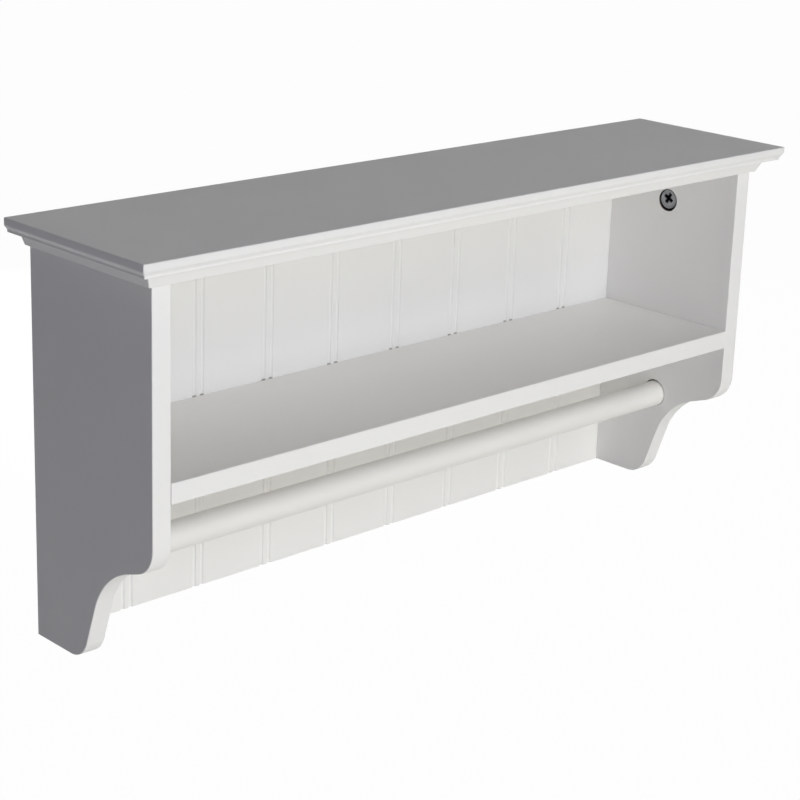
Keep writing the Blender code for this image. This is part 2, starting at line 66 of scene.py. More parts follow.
# %% Start a piece from a primitive, or open it again
def start(name, add, place=(0, 0, 0), **sizes):
    """Adds a primitive at its place with nothing else selected, and opens it in edit mode."""
    bpy.ops.object.select_all(action="DESELECT")
    add(location=place, **sizes)
    piece = bpy.context.object
    piece.name = piece.data.name = name
    bpy.ops.object.transform_apply(location=True, rotation=True, scale=True)
    bpy.ops.object.mode_set(mode="EDIT")
    bpy.ops.mesh.select_mode(type="VERT")
    return piece


def start_vertex(name, place):
    """A mesh of one vertex, to be extruded and spun."""
    piece = start(name, bpy.ops.mesh.primitive_plane_add, place, size=mm)
    bpy.ops.mesh.merge(type="CENTER")
    return piece


def start_disc(name, place, radius, vertices=96, **turned):
    return start(name, bpy.ops.mesh.primitive_circle_add, place, vertices=vertices, radius=radius,
                 fill_type="NGON", **turned)


def reopen(piece):
    bpy.context.view_layer.objects.active = piece
    bpy.ops.object.mode_set(mode="EDIT")


# %% Pick vertices, edges or faces by a test
def middle(element):
    return sum((corner.co for corner in element.verts), Vector()) / len(element.verts)


def span(edge, axis):
    """How far an edge reaches along X (0), Y (1) or Z (2)."""
    return abs(edge.verts[0].co[axis] - edge.verts[1].co[axis])


def pick(kind, test):
    """Selects only the vertices (VERT), edges (EDGE) or faces (FACE) that pass the test."""
    bpy.ops.mesh.select_mode(type=kind)
    bpy.ops.mesh.select_all(action="DESELECT")
    mesh = bpy.context.object.data
    shape = bmesh.from_edit_mesh(mesh)
    chosen = [e for e in {"VERT": shape.verts, "EDGE": shape.edges, "FACE": shape.faces}[kind] if test(e)]
    for element in chosen:
        element.select_set(True)
    bmesh.update_edit_mesh(mesh)
    return len(chosen)


# %% Shape what is picked, and leave edit mode with clean faces
hair = 0.01 * mm
weld = 0.001 * mm


def leave():
    bpy.ops.object.mode_set(mode="OBJECT")


def pick_all():
    bpy.ops.mesh.select_all(action="SELECT")


def extrude(offset):
    bpy.ops.mesh.extrude_region_move(TRANSFORM_OT_translate={"value": offset})


def resize(shares, about=(0, 0, 0)):
    bpy.ops.transform.resize(value=shares, center_override=about)


def round_off(test, width, segments, kind="EDGE"):
    """Rounds the edges of what passes the test, and says how much that is."""
    count = pick(kind, test)
    bpy.ops.mesh.bevel(offset=width, segments=segments, profile=0.5, affect="EDGES")
    return count


def close_up():
    """Merges what lies in one place, turns every face outward and goes back to object mode."""
    pick_all()
    bpy.ops.mesh.remove_doubles(threshold=weld)
    bpy.ops.mesh.normals_make_consistent(inside=False)
    leave()


# %% Apply a modifier, and cut one shape out of another
def apply_modifier(piece, kind, **settings):
    modifier = piece.modifiers.new(kind.title(), kind)
    for key, value in settings.items():
        setattr(modifier, key, value)
    bpy.context.view_layer.objects.active = piece
    bpy.ops.object.modifier_apply(modifier=modifier.name)


def take_out(piece, cutter):
    apply_modifier(piece, "BOOLEAN", operation="DIFFERENCE", solver="EXACT", object=cutter)
    bpy.data.objects.remove(cutter)


# %% Drill round holes, and remember which stay bare and get painted shade
bare_and_shaded_holes = {}


def drill(piece, holes, sides=48, sprayed=False):
    """Cuts holes that don't touch each other, each given by its start, its end and its radius."""
    if not sprayed:
        bare_and_shaded_holes.setdefault(piece.name, []).extend(holes)
    drills = []
    for start_at, end_at, radius in holes:
        way = end_at - start_at
        turned = way.to_track_quat("Z", "Y").to_euler()
        bpy.ops.mesh.primitive_cylinder_add(vertices=sides, radius=radius, depth=way.length,
                                            location=(start_at + end_at) / 2, rotation=turned)
        drills.append(bpy.context.object)
    for made in drills:
        made.select_set(True)
    if len(drills) > 1:
        bpy.ops.object.join()
    take_out(piece, bpy.context.object)


# %% Where a hole for a CAD piece goes
sides = ("left", "right")
rows = ("rear", "front")
levels = ("upper", "lower")
pin_places = (1, 2, 3)
play = 0.3 * mm
pin_radius = 0.7 * mm
screw_radius = 1.4 * mm


def hole_for(node, clearance=play):
    """The round hole that clears a CAD piece, along the piece's longest side."""
    low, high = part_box(node)
    size = high - low
    along = max(range(3), key=lambda i: size[i])
    across = max(size[i] for i in range(3) if i != along)
    half = Vector([size[i] / 2 + clearance if i == along else 0 for i in range(3)])
    centre = (low + high) / 2
    return centre - half, centre + half, across / 2 + clearance


def shank_hole(node, radius):
    """A narrower hole, for the shank of a screw or a pin."""
    near, far, _ = hole_for(node)
    return near, far, radius + play


def drill_for_pins(board, where):
    drill(board, [shank_hole(f"back_pin_{where}_{place}", pin_radius) for place in pin_places], sides=16)


# %% Shade, and put a piece on its body
def shade(piece, angle=35):
    """Smooth across rounds, crisp at edges, with the big flat faces setting the direction."""
    bpy.ops.object.select_all(action="DESELECT")
    piece.select_set(True)
    reopen(piece)
    if pick("FACE", lambda face: face.calc_area() < weld ** 2):
        bpy.ops.mesh.dissolve_degenerate(threshold=weld / 2)
    leave()
    bpy.ops.object.shade_smooth_by_angle(angle=math.radians(angle))
    apply_modifier(piece, "WEIGHTED_NORMAL", keep_sharp=True)


def faces(piece):
    return len(piece.data.polygons)


def fit(piece, *nodes, body="shelf_unit"):
    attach(piece, body)
    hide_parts(*nodes)
    print(piece.name, "faces:", faces(piece), "stands for:", ", ".join(nodes))


# %% [markdown]
# ## The top board
#
# On the real shelf this is a thick board whose front and ends are shaped by a router: a plain face, a
# chamfer, a rounded nose, an undercut and a lower step that leans in. A profile curve swept round the board
# would give the same. Here a plane is extruded down one step at a time and scaled in towards the wall,
# so the mitred corners come by themselves and the rear edge stays square on the wall.

# %% Step the routed edge downward
# Each step's depth below the top, and how far the edge is set back there
edge_steps_mm = [(4.3, 0.0), (6.6, 1.9), (8.4, 1.9), (8.4, 9.0), (17.0, 12.8)]
arris = 0.6 * mm
top_low, top_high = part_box("top_board")
half_length = top_high.x
depth = -top_low.y
top_board = start("routed_top_board", bpy.ops.mesh.primitive_plane_add, (0, -depth / 2, top_high.z),
                  size=1)
resize((2 * half_length, depth, 1), about=(0, -depth / 2, top_high.z))
drop = inset = 0.0
for next_drop, next_inset in edge_steps_mm:
    extrude((0, 0, (drop - next_drop) * mm))
    shares = ((half_length - next_inset * mm) / (half_length - inset * mm),
              (depth - next_inset * mm) / (depth - inset * mm), 1)
    resize(shares, about=(0, 0, top_high.z - next_drop * mm))
    drop, inset = next_drop, next_inset
print("board in mm:", round(2 * half_length / mm, 1), "by", round(depth / mm, 1))


# %% Round its edges
def meets_at_edge(edge, angle=20):
    """True where two faces meet at more than an angle, away from the wall."""
    if len(edge.link_faces) != 2:
        return False
    return edge.calc_face_angle(0) > math.radians(angle) and middle(edge).y < -arris


close_up()
reopen(top_board)
pick("FACE", lambda face: all(corner.co.y > -hair for corner in face.verts))
bpy.ops.mesh.delete(type="FACE")
pick("EDGE", lambda edge: edge.is_boundary)
bpy.ops.mesh.edge_face_add()
print("edges rounded:", round_off(meets_at_edge, arris, 4))
close_up()


# %% Drill it from below for dowels and cam bolts
def bolt_hole(node, radius, near, far):
    """Part of a cam bolt's hole, between two places measured from its head."""
    low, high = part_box(node)
    centre = (low + high) / 2
    if high.z - low.z > high.x - low.x:
        foot, way = Vector((centre.x, centre.y, low.z)), Vector((0, 0, 1))
    else:
        way = Vector((math.copysign(1, centre.x), 0, 0))
        foot = Vector((low.x if centre.x > 0 else high.x, centre.y, centre.z))
    return foot + way * near, foot + way * far, radius


bolt_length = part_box("top_cam_bolt_left")[1].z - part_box("top_cam_bolt_left")[0].z
thread_start = bolt_length - 9.0 * mm
thread_bore = 2.8 * mm
wide_bore = 3.5 * mm


def thread_hole(node):
    return bolt_hole(node, thread_bore, thread_start, bolt_length + play)


def wide_hole(node):
    """The wider hole that a bolt's head passes, from the cam to the board's edge."""
    return bolt_hole(node, wide_bore, 0.0, thread_start + mm)


drill(top_board, [hole_for(f"top_dowel_{side}_{row}") for side in sides for row in rows])
for side in sides:
    drill(top_board, [thread_hole(f"top_cam_bolt_{side}")])
shade(top_board)
fit(top_board, "top_board")

# %% [markdown]
# ## The side boards
#
# Each side is one 12 mm board sawn to an S below: a rounded tongue under the shelf, a long hollow and a
# rounded toe at the wall. The outline could be a Bezier curve made into a mesh. Here one vertex walks
# round it, extruded along the straight parts and spun round the centre of each curve, because then every
# curve is a true arc that meets the straight parts without a kink.

# %% The corners of the side's outline, each with its radius
side_low, side_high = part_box("left_side_panel")
shelf_low, shelf_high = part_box("shelf_board")
tongue_slope = math.radians(19)
toe_slope = math.radians(71)
tongue = Vector((side_low.y, shelf_low.z - 35.75 * mm))
toe = Vector((-44.0 * mm, side_low.z))
tongue_way = Vector((math.cos(tongue_slope), -math.sin(tongue_slope)))
toe_way = Vector((math.cos(toe_slope), -math.sin(toe_slope)))
hollow = tongue + tongue_way * ((toe - tongue).cross(toe_way) / tongue_way.cross(toe_way))
outline = [(Vector((0, side_high.z)), 0.0), (Vector((0, side_low.z)), 0.0), (toe, 16.8 * mm),
           (hollow, 48.3 * mm), (tongue, 19.0 * mm), (Vector((side_low.y, side_high.z)), 0.0)]
print("hollow's corner in mm:", [round(v / mm, 1) for v in hollow])


# %% Walk one vertex round it
def walk(x, corners):
    """Extrudes and spins the selected vertex round (y, z) corners with radii, and fills the outline."""
    here = corners[0][0]
    for i in range(1, len(corners)):
        corner, radius = corners[i]
        way_in = (corner - corners[i - 1][0]).normalized()
        way_out = (corners[(i + 1) % len(corners)][0] - corner).normalized()
        turn = math.atan2(way_in.cross(way_out), way_in.dot(way_out))
        reach = radius * math.tan(abs(turn) / 2)
        stop = corner - way_in * reach
        extrude((0, *(stop - here)))
        here = stop
        if radius:
            inward = Vector((-way_in.y, way_in.x)) * math.copysign(radius, turn)
            bpy.ops.mesh.spin(steps=math.ceil(abs(turn) / math.radians(2.5)), angle=-turn,
                              center=(x, *(stop + inward)), axis=(1, 0, 0))
            here = corner + way_out * reach
    pick_all()
    bpy.ops.mesh.edge_face_add()


def sawn_side(name, node):
    low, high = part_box(node)
    piece = start_vertex(name, (low.x, 0, high.z))
    walk(low.x, outline)
    extrude((high.x - low.x, 0, 0))
    close_up()
    return piece, low, high


side_boards = {side: sawn_side(f"{side}_side_board", f"{side}_side_panel") for side in sides}
print("outline vertices:", len(side_boards["left"][0].data.vertices) // 2)


# %% Ease the arrises that can be seen
def ease_side(piece, low, high):
    """Rounds both long edges of the outline, but not where the board meets the wall or the top."""
    def seen(edge):
        ends = [corner.co for corner in edge.verts]
        at_wall = all(end.y > -arris for end in ends)
        at_top = all(end.z > high.z - arris for end in ends)
        return not (span(edge, 0) > arris or at_wall or at_top)

    reopen(piece)
    count = round_off(seen, arris, 3)
    close_up()
    return count


for side in sides:
    print(side, "edges eased:", ease_side(*side_boards[side]))

# %% [markdown]
# ## Rebates, sockets and bores in the sides
#
# The back lies in a rebate, the rod's ends in two blind sockets, and each cam in a 15 mm bore. These are
# Boolean cuts with plain cylinders and boxes, which is what a drill and a router do. Cutting them by
# moving faces would need the outline divided round each hole.

# %% Blocks to cut with, and the cuts' sizes
def block(name, low, high):
    """A cube stretched to reach from one corner to the other, in edit mode."""
    piece = start(name, bpy.ops.mesh.primitive_cube_add, (low + high) / 2, size=1)
    resize(high - low, about=(low + high) / 2)
    return piece


outward = {"left": -1, "right": 1}
joints = {joint["name"]: joint for joint in frame["joints"]}
rod_joint = Vector(joints["towel_rod_turn"]["pos_m"])
rod_low, rod_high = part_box("towel_rod")
rod_radius = (rod_high.z - rod_low.z) / 2
back_low, back_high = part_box("back_panel")
rebate_play = 0.2 * mm
socket_radius = rod_radius + 0.65 * mm
socket_depth = 8.3 * mm
socket_lift = 0.35 * mm
bore_radius = 7.6 * mm
bore_depth = 9.5 * mm
bore_drop = 0.2 * mm
print("socket radius in mm:", round(socket_radius / mm, 2))

# %% Machine the side boards
for side, way in outward.items():
    board, low, high = side_boards[side]
    inner_x = high.x if way < 0 else low.x
    rebate_x = sorted((way * (back_high.x + rebate_play), inner_x - way * mm))
    rebate = block("rebate", Vector((rebate_x[0], back_low.y - rebate_play, low.z - mm)),
                   Vector((rebate_x[1], mm, high.z + mm)))
    leave()
    take_out(board, rebate)
    across = Vector((way, 0, 0))
    socket_centre = Vector((inner_x, rod_joint.y, rod_joint.z + socket_lift))
    socket = (socket_centre - across * mm, socket_centre + across * socket_depth, socket_radius)
    drill(board, [socket], sides=64, sprayed=True)
    holes = [hole_for(f"rail_dowel_{side}_{level}") for level in levels]
    for row in rows:
        holes += [hole_for(f"{where}_dowel_{side}_{row}") for where in ("top", "shelf")]
    holes.append(thread_hole(f"shelf_cam_bolt_{side}"))
    cam_centre = Vector(joints[f"top_cam_{side}_lock"]["pos_m"]) - Vector((0, 0, bore_drop))
    holes.append((cam_centre - across * mm, cam_centre + across * bore_depth, bore_radius))
    drill(board, holes, sides=64)
    drill(board, [wide_hole(f"top_cam_bolt_{side}")], sides=32)
    drill_for_pins(board, side)
    shade(board)
    fit(board, f"{side}_side_panel")

# %% [markdown]
# ## The shelf and the hanging rail
#
# Both are plain boards between the sides, with the two front arrises eased before painting. The shelf's
# cams sit in its underside, and the rail behind the top board's edge carries the hangers at the wall.

# %% Make the shelf, and bore it for its cams
def plain_board(name, node):
    """A block the size of the CAD board, with its two long front edges rounded."""
    low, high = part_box(node)
    piece = block(name, low, high)
    round_off(lambda edge: span(edge, 0) > arris
              and all(corner.co.y < low.y + arris for corner in edge.verts), arris, 4)
    close_up()
    return piece


shelf = plain_board("shelf", "shelf_board")
cam_bores = []
for side, way in outward.items():
    centre = Vector(joints[f"shelf_cam_{side}_lock"]["pos_m"]) - Vector((way * bore_drop, 0, 0))
    cam_bores.append((centre - Vector((0, 0, mm)), centre + Vector((0, 0, bore_depth)), bore_radius))
drill(shelf, cam_bores, sides=64)
drill(shelf, [wide_hole(f"shelf_cam_bolt_{side}") for side in sides], sides=32)
drill(shelf, [hole_for(f"shelf_dowel_{side}_{row}") for side in sides for row in rows])
drill_for_pins(shelf, "shelf")
shade(shelf)
fit(shelf, "shelf_board")


# %% Make the rail, with pockets for the wall screws
def rounded_block(name, low, high, radius):
    """A block from corner to corner whose edges along Y are rounded."""
    piece = block(name, low, high)
    round_off(lambda edge: span(edge, 1) > arris, radius, 12)
    close_up()
    return piece


rail = plain_board("rail", "hanging_rail")
rail_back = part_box("hanging_rail")[1].y
pocket_radius = 5.0 * mm
pocket_reach = pocket_radius + 3.25 * mm
pocket_depth = 6.0 * mm
nearly = 0.999
for side in sides:
    low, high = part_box(f"keyhole_hanger_{side}")
    centre = (low + high) / 2
    low = Vector((centre.x - pocket_radius, rail_back - pocket_depth, centre.z - pocket_reach))
    high = Vector((centre.x + pocket_radius, rail_back + mm, centre.z + pocket_reach))
    take_out(rail, rounded_block("pocket", low, high, pocket_radius * nearly))
drill(rail, [hole_for(f"rail_dowel_{side}_{level}") for side in sides for level in levels])
screws = [f"hanger_screw_{side}_{place}" for side in sides for place in ("inner", "outer")]
drill(rail, [shank_hole(node, screw_radius) for node in screws], sides=16)
drill_for_pins(rail, "rail")
shade(rail)
fit(rail, "hanging_rail")

# %% [markdown]
# ## The grooved back
#
# Beadboard is a thin board with grooves milled in pairs, and a plain strip between one pair and the next.
# One strip with its two rounded grooves is drawn as a line, and an Array modifier repeats it across
# the back. The line is then closed behind and extruded down. Cutting each groove would cost a Boolean
# for each and leave ragged ends.

# %% Draw one strip with its pair of grooves
groove_pitch = 52.7 * mm
groove_offset = 2.85 * mm
groove_radius = 1.5 * mm
groove_depth = 1.1 * mm
lip_round = 0.25 * mm
pairs = 8
first_middle = -(pairs - 1) / 2 * groove_pitch
front_y = back_low.y
here = first_middle - groove_pitch / 2
back = start_vertex("beadboard_back", (here, front_y, back_high.z))
for centre in (first_middle - groove_offset, first_middle + groove_offset):
    extrude((centre - groove_radius - here, 0, 0))
    bpy.ops.mesh.spin(steps=12, angle=math.pi, center=(centre, front_y, back_high.z), axis=(0, 0, 1))
    here = centre + groove_radius
extrude((first_middle + groove_pitch / 2 - here, 0, 0))
pick_all()
resize((1, groove_depth / groove_radius, 1), about=(0, front_y, 0))
leave()
print("vertices in one strip:", len(back.data.vertices))

# %% Repeat it, close it behind and extrude it down
apply_modifier(back, "ARRAY", count=pairs, use_relative_offset=False, use_constant_offset=True,
               constant_offset_displace=(groove_pitch, 0, 0), use_merge_vertices=True, merge_threshold=hair)
reopen(back)
strip_end = pairs / 2 * groove_pitch
pick("VERT", lambda corner: corner.co.x < -strip_end + hair)
extrude((-back_high.x + strip_end, 0, 0))
extrude((0, back_high.y - front_y, 0))
extrude((2 * back_high.x, 0, 0))
extrude((0, front_y - back_high.y, 0))
pick_all()
bpy.ops.mesh.remove_doubles(threshold=hair)
bpy.ops.mesh.edge_face_add()
extrude((0, 0, back_low.z - back_high.z))
close_up()
print("back panel faces:", faces(back))


# %% Soften the groove lips
def groove_lip(edge, angle=20):
    """True for the long edges where a groove breaks the front face."""
    at_face = all(abs(corner.co.y - front_y) < hair for corner in edge.verts)
    return (span(edge, 2) > arris and at_face and abs(middle(edge).x) < strip_end
            and edge.calc_face_angle(0) > math.radians(angle))


reopen(back)
print("groove lips:", round_off(groove_lip, lip_round, 3))
close_up()

# %% Cut the hanger windows, and sink the pins' heads
window_play = Vector((0.4 * mm, 0, 0.4 * mm))
window_radius = 3.4 * mm
head_depth = Vector((0, 0.9 * mm, 0))
for side in sides:
    low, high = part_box(f"keyhole_hanger_{side}")
    low = Vector((low.x, back_low.y - mm, low.z)) - window_play
    high = Vector((high.x, back_high.y + mm, high.z)) + window_play
    take_out(back, rounded_block("window", low, high, window_radius))
back_pins = [f"back_pin_{where}_{place}" for where in (*sides, "rail", "shelf") for place in pin_places]
heads = [(hole_for(node)[1] - head_depth, *hole_for(node)[1:]) for node in back_pins]
drill(back, heads, sides=24)
drill(back, [shank_hole(node, pin_radius) for node in back_pins], sides=16)
shade(back)
fit(back, "back_panel")

# %% [markdown]
# ## The towel rod
#
# A painted round rod that lies loose in its two sockets. A circle is extruded along its length and its
# end edges are bevelled, as they are on turned stock. It rides on its own body, because it can spin.

# %% Extrude the rod and chamfer its ends
rod = start_disc("painted_towel_rod", (rod_low.x, rod_joint.y, rod_joint.z), rod_radius,
                 rotation=(0, math.pi / 2, 0))
extrude((rod_high.x - rod_low.x, 0, 0))
close_up()
reopen(rod)
print("end edges:", round_off(lambda edge: span(edge, 0) < arris, 0.8 * mm, 3))
close_up()
shade(rod)
fit(rod, "towel_rod", body="rod")

# %% [markdown]
# ## The cam locks
#
# A cam is a die-cast zinc drum in a 15 mm bore, with a cross for the driver. Its face is a smaller disc
# set off-centre, which leaves a dark crescent below it in the photograph. Inside, an off-centre chamber
# and a slot let the bolt's head in on one side and pull it tight over half a turn. The drum is a circle
# extruded down, and cylinders, a spun slot and a few blocks are cut out of it. One cam is modelled at the
# origin, upright on its axis, and four copies go to their joints.

# %% Extrude the drum and round its lower rim
cam_radius = 7.1 * mm
cam_face = -0.3 * mm
cam_bottom = -9.2 * mm
rim_round = 0.3 * mm
cam = start_disc("cam", (0, 0, cam_face), cam_radius)
extrude((0, 0, cam_bottom - cam_face))
close_up()
reopen(cam)
round_off(lambda edge: all(corner.co.z < cam_bottom + hair for corner in edge.verts), rim_round, 3)
close_up()
print("drum faces:", faces(cam))

# %% Turn its face down to a smaller disc, set off-centre
face_radius = 6.45 * mm
face_shift = 0.45 * mm
face_depth = 2.2 * mm
ring = start_disc("ring", (0, 0, cam_face - face_depth), cam_radius + mm)
extrude((0, 0, face_depth + mm))
close_up()
disc_middle = Vector((face_shift, 0, 0))
beyond = Vector((0, 0, face_depth + 2 * mm))
drill(ring, [(disc_middle - beyond, disc_middle + beyond, face_radius)], sides=96)
take_out(cam, ring)


# %% Round the disc's rim, and sink its middle a little
def disc_face(face):
    return face.normal.z > 0.99 and middle(face).z > cam_face - hair and len(face.verts) > 8


reopen(cam)
round_off(disc_face, rim_round, 3, kind="FACE")
pick("FACE", disc_face)
bpy.ops.mesh.inset(thickness=0.8 * mm)
bpy.ops.mesh.inset(thickness=0.25 * mm, depth=-0.2 * mm)
close_up()
print("with the disc:", faces(cam))

# %% Hollow it: the off-centre chamber
locked_radius = cam_radius - 1.9 * mm
released_radius = cam_radius - 1.2 * mm
chamber_middle = Vector(((locked_radius - released_radius) / 2, 0, 0))
chamber_top = Vector((0, 0, -3.1 * mm))
floor_below = Vector((0, 0, cam_bottom - mm))
drill(cam, [(chamber_middle + chamber_top, chamber_middle + floor_below,
             (locked_radius + released_radius) / 2)], sides=96)
print("with the chamber:", faces(cam))

# %% Cut the neck slot and the head's way in
bolt_z = -6.0 * mm
neck_half = 1.7 * mm
slot_inside = 3.3 * mm
slot_outside = cam_radius + mm
way_radius = 2.8 * mm
first_turn = math.asin(neck_half / locked_radius)
neck_slot = start("neck_slot", bpy.ops.mesh.primitive_plane_add, size=1, rotation=(math.pi / 2, 0, 0))
resize((slot_outside - slot_inside, 1, 2 * neck_half))
bpy.ops.transform.translate(value=((slot_inside + slot_outside) / 2, 0, bolt_z))
bpy.ops.transform.rotate(value=-first_turn, orient_axis="Z", center_override=(0, 0, 0))
bpy.ops.mesh.spin(steps=40, angle=math.pi + first_turn, center=(0, 0, 0), axis=(0, 0, 1))
close_up()
print("neck slot in degrees:", round(math.degrees(math.pi + first_turn)))
take_out(cam, neck_slot)
way_in = start("way_in", bpy.ops.mesh.primitive_cylinder_add, (-(cam_radius + slot_inside) / 2, 0, bolt_z),
               vertices=48, radius=way_radius, depth=cam_radius - slot_inside + 2 * mm,
               rotation=(0, math.pi / 2, 0))
pick("VERT", lambda corner: corner.co.z < bolt_z - hair)
resize((1, 1, 0), about=(0, 0, cam_bottom - mm))
close_up()
take_out(cam, way_in)


# %% Cut the driver's cross, and mark the sunk vertices for painted shade
def cut_cross(piece, top, reach, arm_half, depth, turn, shift=0.0, taper=0.85):
    """Two crossed blocks that narrow downward, as a driver's tip does."""
    for quarter in (0, 1):
        arm = block("arm", Vector((-reach, -arm_half, top - depth)),
                    Vector((reach, arm_half, top + 0.5 * mm)))
        pick("FACE", lambda face: face.normal.z < -0.9)
        resize((taper, taper, 1))
        pick_all()
        bpy.ops.transform.rotate(value=turn + quarter * math.pi / 2, orient_axis="Z",
                                 center_override=(0, 0, 0))
        bpy.ops.transform.translate(value=(shift, 0, 0))
        close_up()
        take_out(piece, arm)


cut_cross(cam, cam_face, reach=4.0 * mm, arm_half=1.3 * mm, depth=2.4 * mm, turn=math.radians(28),
          shift=1.2 * mm)
shade(cam, angle=30)
# Vertices deeper than this below the face carry a near-black painted shade
shade_depth = 0.6 * mm
sunk_shade = cam.data.attributes.new("sunk_shade", "FLOAT", "POINT")
for mark, corner in zip(sunk_shade.data, cam.data.vertices):
    mark.value = float(corner.co.z < cam_face - shade_depth)
print("cam faces:", faces(cam))


# %% Copy the cam to its four joints
def set_axes(origin, x_way, z_way):
    """The matrix that puts a piece's own +X and +Z on two directions at a place."""
    x_axis, z_axis = Vector(x_way), Vector(z_way)
    turned = Matrix((x_axis, z_axis.cross(x_axis), z_axis)).transposed()
    return Matrix.Translation(origin) @ turned.to_4x4()


def copy_to(model, name, matrix, node, **body):
    """A copy with its own mesh, whose place is in the mesh."""
    piece = model.copy()
    piece.data = model.data.copy()
    piece.name = piece.data.name = name
    scene.collection.objects.link(piece)
    piece.data.transform(matrix)
    fit(piece, node, **body)
    return piece


cams = []
for side, way in outward.items():
    for where, x_way, z_way in (("top", (0, 0, 1), (-way, 0, 0)), ("shelf", (way, 0, 0), (0, 0, -1))):
        matrix = set_axes(joints[f"{where}_cam_{side}_lock"]["pos_m"], x_way, z_way)
        node = f"{where}_cam_{side}"
        cams.append(copy_to(cam, f"zinc_{node}", matrix, node, body=f"cam_{where}_{side}"))
bpy.data.objects.remove(cam)

# %% [markdown]
# ## Turned and threaded steel
#
# Bolts, screws and pins are round about an axis, so each is a profile of one vertex extruded from point to
# point and spun a full turn. A thread can't be spun: a Screw modifier winds one pitch of its outline up
# the axis, both ends are cut square by bisecting, and a Boolean joins it to the shank. Each has its head's
# face at height zero and points down, and copies go to their places.

# %% Spin a profile
def lathe(name, profile, steps=32):
    """Spins (radius, depth) points, from the middle of the head to the middle of the tip."""
    radius, depth = profile[0]
    piece = start_vertex(name, (radius, 0, -depth))
    for next_radius, next_depth in profile[1:]:
        extrude((next_radius - radius, 0, depth - next_depth))
        radius, depth = next_radius, next_depth
    pick_all()
    bpy.ops.mesh.spin(steps=steps, angle=2 * math.pi, center=(0, 0, 0), axis=(0, 0, 1))
    close_up()
    return piece


# %% Wind a thread
def add_thread(piece, root, crest, pitch, near, far):
    """Winds a thread from one depth to another and joins it to the piece."""
    turns = math.ceil((far - near) / pitch) + 3
    thread = start_vertex("thread", (root, 0, -far - 1.5 * pitch))
    # Along the root, up a flank, along the crest and down, in shares of the pitch
    for out, up in ((0, 0.3), (1, 0.3), (0, 0.1), (-1, 0.3)):
        extrude(((crest - root) * out, 0, pitch * up))
    leave()
    apply_modifier(thread, "SCREW", angle=2 * math.pi, screw_offset=pitch, iterations=turns, steps=24,
                   use_merge_vertices=True, merge_threshold=weld)
    reopen(thread)
    for depth, way in ((near, 1), (far, -1)):
        pick_all()
        bpy.ops.mesh.bisect(plane_co=(0, 0, -depth), plane_no=(0, 0, way), use_fill=True, clear_outer=True,
                            threshold=weld)
    close_up()
    apply_modifier(piece, "BOOLEAN", operation="UNION", solver="EXACT", object=thread)
    bpy.data.objects.remove(thread)


# %% Turn the cam bolt
head_radius = 2.6 * mm
head_end = 2.5 * mm
neck_radius = 1.4 * mm
shank_radius = 2.7 * mm
shank_from = 5.95 * mm
collar_radius = 3.1 * mm
collar_from = thread_start - 1.2 * mm
thread_root = 1.9 * mm
thread_crest = 2.5 * mm
tip_radius = 1.2 * mm
head_corner = 0.2 * mm
bolt = lathe("bolt", [
    (0, 0), (head_radius - 0.7 * mm, 0), (head_radius - head_corner, head_corner), (head_radius, 0.7 * mm),
    (head_radius, head_end - head_corner), (head_radius - head_corner, head_end), (neck_radius, head_end),
    (neck_radius, shank_from), (shank_radius - 0.3 * mm, shank_from), (shank_radius, shank_from + 0.3 * mm),
    (shank_radius, collar_from), (collar_radius, collar_from), (collar_radius, thread_start),
    (thread_root, thread_start), (thread_root, bolt_length - 0.9 * mm), (tip_radius, bolt_length),
    (0, bolt_length)])
add_thread(bolt, thread_root - 0.1 * mm, thread_crest, pitch=1.6 * mm, near=thread_start - 0.4 * mm,
           far=bolt_length - 1.2 * mm)
shade(bolt, angle=30)
print("bolt faces:", faces(bolt))

# %% Copy it to the four cams
steel_pieces = []
for where in ("top", "shelf"):
    for side in sides:
        node = f"{where}_cam_bolt_{side}"
        foot, ahead, _ = bolt_hole(node, 0, 0.0, 1.0)
        matrix = set_axes(foot, (0, 1, 0), foot - ahead)
        steel_pieces.append(copy_to(bolt, f"plated_{node}", matrix, node))
bpy.data.objects.remove(bolt)

# %% [markdown]
# ## Keyhole hangers and their screws
#
# Behind the top board's edge two stamped steel plates hang the shelf on wall screws. Each lies in a window
# of the back, over a pocket in the rail. The plate is a block with rounded corners and eased rims. The
# keyhole is a cylinder and a rounded slot cut out one after the other, and each countersink is a spun cone.

# %% Cut the keyhole in a plate
plate_low, plate_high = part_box("keyhole_hanger_left")
plate_middle = (plate_low + plate_high) / 2
plate = rounded_block("plate", plate_low, plate_high, 3.0 * mm)
reopen(plate)
round_off(lambda edge: span(edge, 1) < hair, 0.2 * mm, 2)
close_up()
keyhole_travel = 6.5 * mm
entry_radius = 4.2 * mm
slot_half = 2.2 * mm
through = Vector((0, 2 * mm, 0))
entry = plate_middle - Vector((0, 0, keyhole_travel / 2))
drill(plate, [(entry - through, entry + through, entry_radius)], sides=64)
slot_low = entry - Vector((slot_half, 2 * mm, 0))
slot_high = plate_middle + Vector((slot_half, 2 * mm, keyhole_travel / 2 + slot_half))
take_out(plate, rounded_block("slot", slot_low, slot_high, slot_half * nearly))
print("plate faces:", faces(plate))

# %% Countersink it, and copy it to the other side
for node in screws[:2]:
    low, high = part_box(node)
    at_head = Vector(((low.x + high.x) / 2, plate_high.y, (low.z + high.z) / 2))
    cone = lathe("cone", [(0, -mm), (4.3 * mm, -mm), (1.7 * mm, 1.6 * mm), (1.7 * mm, 3 * mm), (0, 3 * mm)])
    cone.data.transform(set_axes(at_head, (1, 0, 0), (0, 1, 0)))
    take_out(plate, cone)
shade(plate, angle=30)
for side in sides:
    node = f"keyhole_hanger_{side}"
    low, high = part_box(node)
    matrix = Matrix.Translation((low + high) / 2 - plate_middle)
    steel_pieces.append(copy_to(plate, f"stamped_hanger_{side}", matrix, node))
bpy.data.objects.remove(plate)

